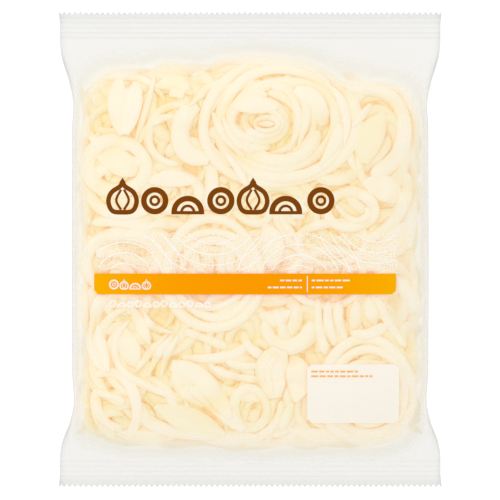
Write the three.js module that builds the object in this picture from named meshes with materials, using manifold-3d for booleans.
// A sealed pillow bag of sliced onion rings, lying on its back with the printed side up.
//
// The bag is one tube of film, welded flat and crimped across both ends, with a fin seam down its back.
// Between the welds the onions swell it. The girth of the tube is the same all the way along, so the
// bag narrows where it thickens. Film and onions are one closed solid out to the film.
//
// Lengths are in millimetres. X runs across the bag, Y towards its top edge and Z up, out of the
// printed side. The origin is on the surface that the bag lies on, under its middle.

import * as THREE from "three";
import { mergeVertices } from "three/addons/utils/BufferGeometryUtils.js";
import Module from "manifold-3d";

const wasm = await Module();
wasm.setup();

// Driving dimensions
const FLAT_WIDTH = 190; // of the film tube where it is pressed flat, as in the welds
const BAG_LENGTH = 235; // from tooth tip to tooth tip
const FILL_THICKNESS = 32; // of the swollen middle
const WELD_DEPTH = 15; // of the flat welded band at each end
const TOP_SHOULDER_DEPTH = 50; // from the top edge to where the bag has its full thickness
const BOTTOM_SHOULDER_DEPTH = 44; // the same at the bottom, where the onions have settled

// The middle
const FILM_GIRTH = 2 * FLAT_WIDTH;
const SECTION_SQUARENESS = 2.95; // exponent of the rounded cross-section: 2 would be an ellipse
const SHOULDER_ROUNDING = 1.5; // exponent of the way that the thickness grows out of a weld
const UNDERSIDE_SQUASH = 1.2; // how much of the underside the ground flattens
const COLUMNS_AROUND = 64;
const ROWS_ALONG = 42;
const COLUMN_CROWDING = 0.55; // how much closer the columns lie at the two folded edges
const ROW_CROWDING = 0.6; // how much closer the rows lie near the welds

// The welds
const WELD_THICKNESS = 0.7;
const WELD_HEIGHT = 10; // of the welds above the ground
const WELD_DROOP = 3; // how far their outer edges hang below that
const WELD_WAVE = 0.8; // how far they wave up and down across the bag
const WELD_WAVE_LENGTH = 118;
const WELD_COLUMNS = 12;
const TOOTH_COUNT = 70;
const TOOTH_DEPTH = 1.35;
const RIB_COUNT = 5;
const RIB_PITCH = 2.45;
const RIB_HEIGHT = 0.35;
const FIRST_RIB = 1.8; // from the tooth tips to the first rib
const POINTS_PER_RIB = 4;

// The back seam
const SEAM_WIDTH = 11;
const SEAM_THICKNESS = 0.4;

// Where large rings and clumps lift the film: place, radius and rise of each swelling
const SWELLINGS = [
  { x: 14, y: 64, radius: 42, rise: 2.4 },
  { x: -70, y: 24, radius: 24, rise: 1.5 },
  { x: 72, y: 52, radius: 25, rise: 1.4 },
  { x: -42, y: 66, radius: 26, rise: 1.3 },
  { x: -6, y: -6, radius: 30, rise: 1.2 },
  { x: 2, y: -46, radius: 34, rise: 1.9 },
  { x: 58, y: -72, radius: 36, rise: 2.0 },
  { x: 68, y: -18, radius: 24, rise: 1.1 },
  { x: -72, y: -74, radius: 26, rise: 1.6 },
  { x: -50, y: -36, radius: 24, rise: 1.0 },
];

const HALF_LENGTH = BAG_LENGTH / 2;
const WELD_OVERLAP = 1; // how far the middle reaches into each weld
const BODY_LENGTH = BAG_LENGTH - 2 * (WELD_DEPTH - WELD_OVERLAP);
const THINNEST = WELD_THICKNESS - 0.2; // of the middle at its ends, which stay inside the welds

// How full the bag is at a place along it: 0 in the welds and 1 in the middle.
function fillShare(y) {
  const shoulderDepth = y > 0 ? TOP_SHOULDER_DEPTH : BOTTOM_SHOULDER_DEPTH;
  const weldEnd = WELD_DEPTH - WELD_OVERLAP;
  const fromEdge = HALF_LENGTH - Math.abs(y);
  const way = THREE.MathUtils.clamp((fromEdge - weldEnd) / (shoulderDepth - weldEnd), 0, 1);
  return Math.sin((way * Math.PI) / 2) ** SHOULDER_ROUNDING;
}

// Height above the ground of the line where the front of the bag meets its back.
function edgeHeight(x, y) {
  const share = fillShare(y);
  const outerShare = Math.max(0, 1 - (HALF_LENGTH - Math.abs(y)) / (2 * WELD_DEPTH));
  const wave = WELD_WAVE * Math.sin((2 * Math.PI * x) / WELD_WAVE_LENGTH + Math.sign(y));
  const weld = WELD_HEIGHT - WELD_DROOP * outerShare ** 2 + wave * (1 - share);
  return THREE.MathUtils.lerp(weld, FILL_THICKNESS / 2, share);
}

// How far the onions lift the film at a place on the front.
function swelling(x, y) {
  let rise = 0;
  for (const swell of SWELLINGS) {
    const away = Math.hypot(x - swell.x, y - swell.y) / swell.radius;
    if (away < 1) rise += (swell.rise * (1 + Math.cos(Math.PI * away))) / 2;
  }
  return rise * fillShare(y);
}

// A rounded cross-section, as a closed curve that starts at the top and goes round by the right.
function crossSection(halfWidth, halfThickness) {
  const steps = 160;
  const points = [];
  for (let i = 0; i < steps; i++) {
    const turn = (i / steps) * 2 * Math.PI;
    const across = Math.sin(turn);
    const up = Math.cos(turn);
    const x = halfWidth * Math.sign(across) * Math.abs(across) ** (2 / SECTION_SQUARENESS);
    const z = halfThickness * Math.sign(up) * Math.abs(up) ** (2 / SECTION_SQUARENESS);
    points.push(new THREE.Vector3(x, 0, z));
  }
  const curve = new THREE.CatmullRomCurve3(points, true);
  curve.arcLengthDivisions = 4 * steps;
  return curve;
}

// The cross-section of a given thickness that the film's girth just goes round.
function filmSection(halfThickness) {
  let narrow = 0.7 * (FLAT_WIDTH / 2);
  let wide = FLAT_WIDTH / 2;
  for (let i = 0; i < 24; i++) {
    const middle = (narrow + wide) / 2;
    if (crossSection(middle, halfThickness).getLength() > FILM_GIRTH) wide = middle;
    else narrow = middle;
  }
  return crossSection(narrow, halfThickness);
}

// Where a row lies along the bag, from its evenly spaced place between -1 and 1.
function rowPlace(even) {
  const crowded = Math.sin((even * Math.PI) / 2);
  return (BODY_LENGTH / 2) * THREE.MathUtils.lerp(even, crowded, ROW_CROWDING);
}

// The points of one row: a cross-section's, closer together where it folds round the sides.
function rowPoints(y) {
  const halfThickness = (THINNEST + (FILL_THICKNESS - THINNEST) * fillShare(y)) / 2;
  const section = filmSection(halfThickness);
  const points = [];
  for (let i = 0; i < COLUMNS_AROUND; i++) {
    const even = i / COLUMNS_AROUND;
    const shift = (COLUMN_CROWDING * Math.sin(4 * Math.PI * even)) / (4 * Math.PI);
    points.push(section.getPointAt(even + shift));
  }
  return points;
}

// The swollen middle, level with its welds: a cylinder with its rings laid along the cross-sections.
function bagMiddle() {
  const geometry = new THREE.CylinderGeometry(1, 1, 2, COLUMNS_AROUND, ROWS_ALONG);
  const place = geometry.getAttribute("position");
  const rows = new Map();
  for (let i = 0; i < place.count; i++) {
    const y = rowPlace(place.getY(i));
    if (!rows.has(y)) rows.set(y, rowPoints(y));
    const fromAxis = Math.hypot(place.getX(i), place.getZ(i));
    const turn = Math.atan2(place.getX(i), place.getZ(i)) / (2 * Math.PI);
    const column = (Math.round(turn * COLUMNS_AROUND) + COLUMNS_AROUND) % COLUMNS_AROUND;
    const point = rows.get(y)[column];
    const x = fromAxis * point.x;
    let z = fromAxis * point.z;
    if (z > 0) {
      z += swelling(x, y) * Math.min(1, z / (FILL_THICKNESS / 4));
    } else {
      const ground = SEAM_THICKNESS - edgeHeight(x, y);
      z = Math.max(z * (1 + (UNDERSIDE_SQUASH / (FILL_THICKNESS / 2)) * fillShare(y)), ground);
    }
    place.setXYZ(i, x, y, z);
  }
  return geometry;
}

// Height of a weld's corrugation at a distance from the tooth tips.
function ribHeight(fromEdge) {
  const way = (fromEdge - FIRST_RIB) / RIB_PITCH;
  if (way < 0 || way > RIB_COUNT) return 0;
  return RIB_HEIGHT * Math.sin(2 * Math.PI * way);
}

// One crimped weld, level, with its teeth towards +Y. Both of its faces follow the same ribs.
function crimpedWeld() {
  const depths = [0, FIRST_RIB];
  for (let i = 1; i <= RIB_COUNT * POINTS_PER_RIB; i++) {
    depths.push(FIRST_RIB + (i / POINTS_PER_RIB) * RIB_PITCH);
  }
  depths.push(WELD_DEPTH);
  const profile = new THREE.Shape();
  profile.moveTo(0, WELD_THICKNESS / 2);
  for (const depth of depths) profile.lineTo(-depth, ribHeight(depth) + WELD_THICKNESS / 2);
  for (const depth of depths.reverse()) {
    profile.lineTo(-depth, ribHeight(depth) - WELD_THICKNESS / 2);
  }
  const slab = new THREE.ExtrudeGeometry(profile, {
    depth: FLAT_WIDTH, steps: WELD_COLUMNS, bevelEnabled: false });
  slab.translate(0, 0, -FLAT_WIDTH / 2);
  // The profile's own X and Y become the bag's Y and Z, and it runs across the bag.
  slab.applyMatrix4(new THREE.Matrix4().makeBasis(
    new THREE.Vector3(0, 1, 0), new THREE.Vector3(0, 0, 1), new THREE.Vector3(1, 0, 0)));
  slab.translate(0, HALF_LENGTH, 0);
  return solidOf(slab).intersect(solidOf(toothedOutline()));
}

// A block with a zigzag edge, which trims a weld to its teeth.
function toothedOutline() {
  const pitch = FLAT_WIDTH / TOOTH_COUNT;
  const outline = new THREE.Shape();
  outline.moveTo(-FLAT_WIDTH / 2, HALF_LENGTH - 2 * WELD_DEPTH);
  outline.lineTo(FLAT_WIDTH / 2, HALF_LENGTH - 2 * WELD_DEPTH);
  for (let i = TOOTH_COUNT; i > 0; i--) {
    outline.lineTo(i * pitch - FLAT_WIDTH / 2, HALF_LENGTH);
    outline.lineTo((i - 0.5) * pitch - FLAT_WIDTH / 2, HALF_LENGTH - TOOTH_DEPTH);
  }
  outline.lineTo(-FLAT_WIDTH / 2, HALF_LENGTH);
  const height = 4 * (WELD_THICKNESS + RIB_HEIGHT);
  const block = new THREE.ExtrudeGeometry(outline, { depth: height, bevelEnabled: false });
  return block.translate(0, 0, -height / 2);
}

// The fin seam folded flat against the underside, level with the bag's edges.
function backSeam() {
  const rooted = 1; // how far it reaches up into the bag
  const geometry = new THREE.BoxGeometry(SEAM_WIDTH, 2, 1, 2, ROWS_ALONG, 1);
  geometry.translate(SEAM_WIDTH / 2, 0, 0);
  const place = geometry.getAttribute("position");
  for (let i = 0; i < place.count; i++) {
    const y = rowPlace(place.getY(i));
    const share = fillShare(y);
    const swollen = (THINNEST + (FILL_THICKNESS - THINNEST) * share) / 2;
    const lowest = SEAM_THICKNESS - edgeHeight(place.getX(i), y);
    const underside = Math.max(-swollen - UNDERSIDE_SQUASH * share, lowest);
    const reach = place.getZ(i) > 0 ? rooted * share : -SEAM_THICKNESS;
    place.setXYZ(i, place.getX(i), y, underside + reach);
  }
  return geometry;
}

// A closed geometry as a solid that can be joined and cut.
function solidOf(geometry) {
  const bare = geometry.clone();
  bare.deleteAttribute("normal");
  bare.deleteAttribute("uv");
  const merged = mergeVertices(bare, 1e-4);
  return new wasm.Manifold(new wasm.Mesh({
    numProp: 3,
    vertProperties: new Float32Array(merged.getAttribute("position").array),
    triVerts: new Uint32Array(merged.index.array),
  }));
}

// A solid as a geometry that can be drawn.
function geometryOf(solid) {
  const mesh = solid.getMesh();
  const geometry = new THREE.BufferGeometry();
  geometry.setAttribute("position", new THREE.BufferAttribute(mesh.vertProperties, 3));
  geometry.setIndex(new THREE.BufferAttribute(mesh.triVerts, 1));
  return geometry;
}

// The whole bag, joined while it is level and then settled onto the ground.
function onionBag() {
  const topWeld = crimpedWeld();
  const bottomWeld = topWeld.rotate([0, 0, 180]);
  const joined = solidOf(bagMiddle()).add(solidOf(backSeam())).add(topWeld).add(bottomWeld);
  const geometry = geometryOf(joined);
  const place = geometry.getAttribute("position");
  for (let i = 0; i < place.count; i++) {
    place.setZ(i, place.getZ(i) + edgeHeight(place.getX(i), place.getY(i)));
  }
  geometry.computeVertexNormals();
  const film = new THREE.MeshStandardMaterial({
    color: 0xf6ecd2, roughness: 0.45, metalness: 0, flatShading: true });
  const mesh = new THREE.Mesh(geometry, film);
  mesh.name = "onion_bag";
  return mesh;
}

const pack = new THREE.Group();
pack.add(onionBag());

export default pack;
